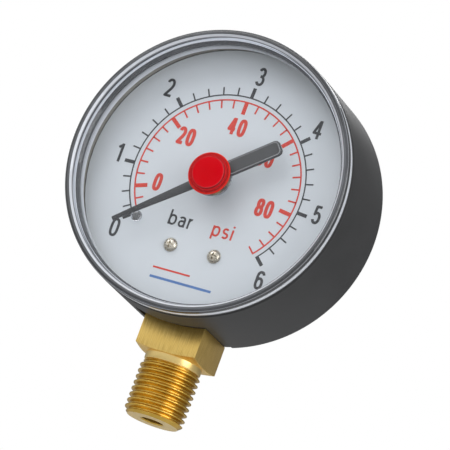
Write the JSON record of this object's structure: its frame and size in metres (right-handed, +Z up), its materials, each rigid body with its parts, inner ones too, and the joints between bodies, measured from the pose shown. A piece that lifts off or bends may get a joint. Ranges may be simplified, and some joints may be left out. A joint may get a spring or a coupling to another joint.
{
  "type": "pressure gauge",
  "caption": "Round dial pressure gauge with a bottom threaded brass stem, black case, clear window, red hub and a Bourdon tube movement that turns the pointer.",
  "frame": {"origin": "centre of the stem's lower end face, on the thread's axis", "axes": "+Z up along the stem towards the case, the dial faces -Y, +X to the right as the dial is read"},
  "size_m": [0.0626, 0.0273, 0.0823],
  "materials": {
    "case": "black moulded plastic, satin",
    "window": "clear polycarbonate with a ridged, polished rim",
    "dial": "white printed dial, satin",
    "brass": "milled and turned brass, fine machining marks",
    "movement_brass": "stamped brass, bright",
    "bronze": "drawn copper alloy, bright",
    "steel": "turned steel",
    "screw": "nickel plated, domed",
    "pointer": "black paint, satin",
    "hub_cap": "red moulded plastic, glossy",
    "clear_plastic": "smoky clear plastic, glossy"
  },
  "bodies": {
    "housing": {"case_shell": "case", "case_screw_left": "screw", "case_screw_right": "screw", "window": "window", "dial_plate": "dial", "dial_screw_left": "screw", "dial_screw_right": "screw", "stop_pin": "clear_plastic", "socket": "brass", "bourdon_tube": "bronze", "movement_plate_rear": "movement_brass", "movement_plate_front": "movement_brass", "pillar_1": "movement_brass", "pillar_2": "movement_brass", "pillar_3": "movement_brass", "movement_screw_left": "screw", "movement_screw_right": "screw", "hairspring": "bronze", "hairspring_stud": "movement_brass"},
    "pointer_shaft": {"pinion_arbor": "steel", "hairspring_collet": "movement_brass", "pointer_bush": "clear_plastic", "pointer": "pointer", "hub_cap": "hub_cap"},
    "sector": {"sector_gear": "movement_brass", "sector_arbor": "steel", "link_screw_sector": "screw"},
    "link_bar": {"link": "steel"},
    "tube_tip": {"tube_end_piece": "movement_brass", "link_screw_tip": "screw"}
  },
  "joints": [
    {"name": "pointer_spin", "type": "hinge", "parent": "housing", "child": "pointer_shaft", "pos_m": [0, 0, 0.051], "axis": [0, 1, 0], "range_deg": [0, 262]},
    {"name": "sector_pivot", "type": "hinge", "parent": "housing", "child": "sector", "pos_m": [0.0066, 0, 0.03899], "axis": [0, 1, 0], "range_deg": [-32.75, 0]},
    {"name": "link_pivot", "type": "hinge", "parent": "sector", "child": "link_bar", "pos_m": [0.009, 0, 0.03519], "axis": [0, 1, 0], "range_deg": [0, 32.75]},
    {"name": "tube_flex", "type": "hinge", "parent": "housing", "child": "tube_tip", "pos_m": [-0.00235, 0, 0.05751], "axis": [0, 1, 0], "range_deg": [-6.25, 0], "stiffness_Nm_per_rad": 0.2, "deforming": ["bourdon_tube"]}
  ],
  "couplings": [
    {"joint": "pointer_spin", "follows": "sector_pivot", "ratio": -8},
    {"joint": "link_pivot", "follows": "sector_pivot", "ratio": -1},
    {"joint": "tube_flex", "follows": "sector_pivot", "ratio": 0.19061}
  ]
}
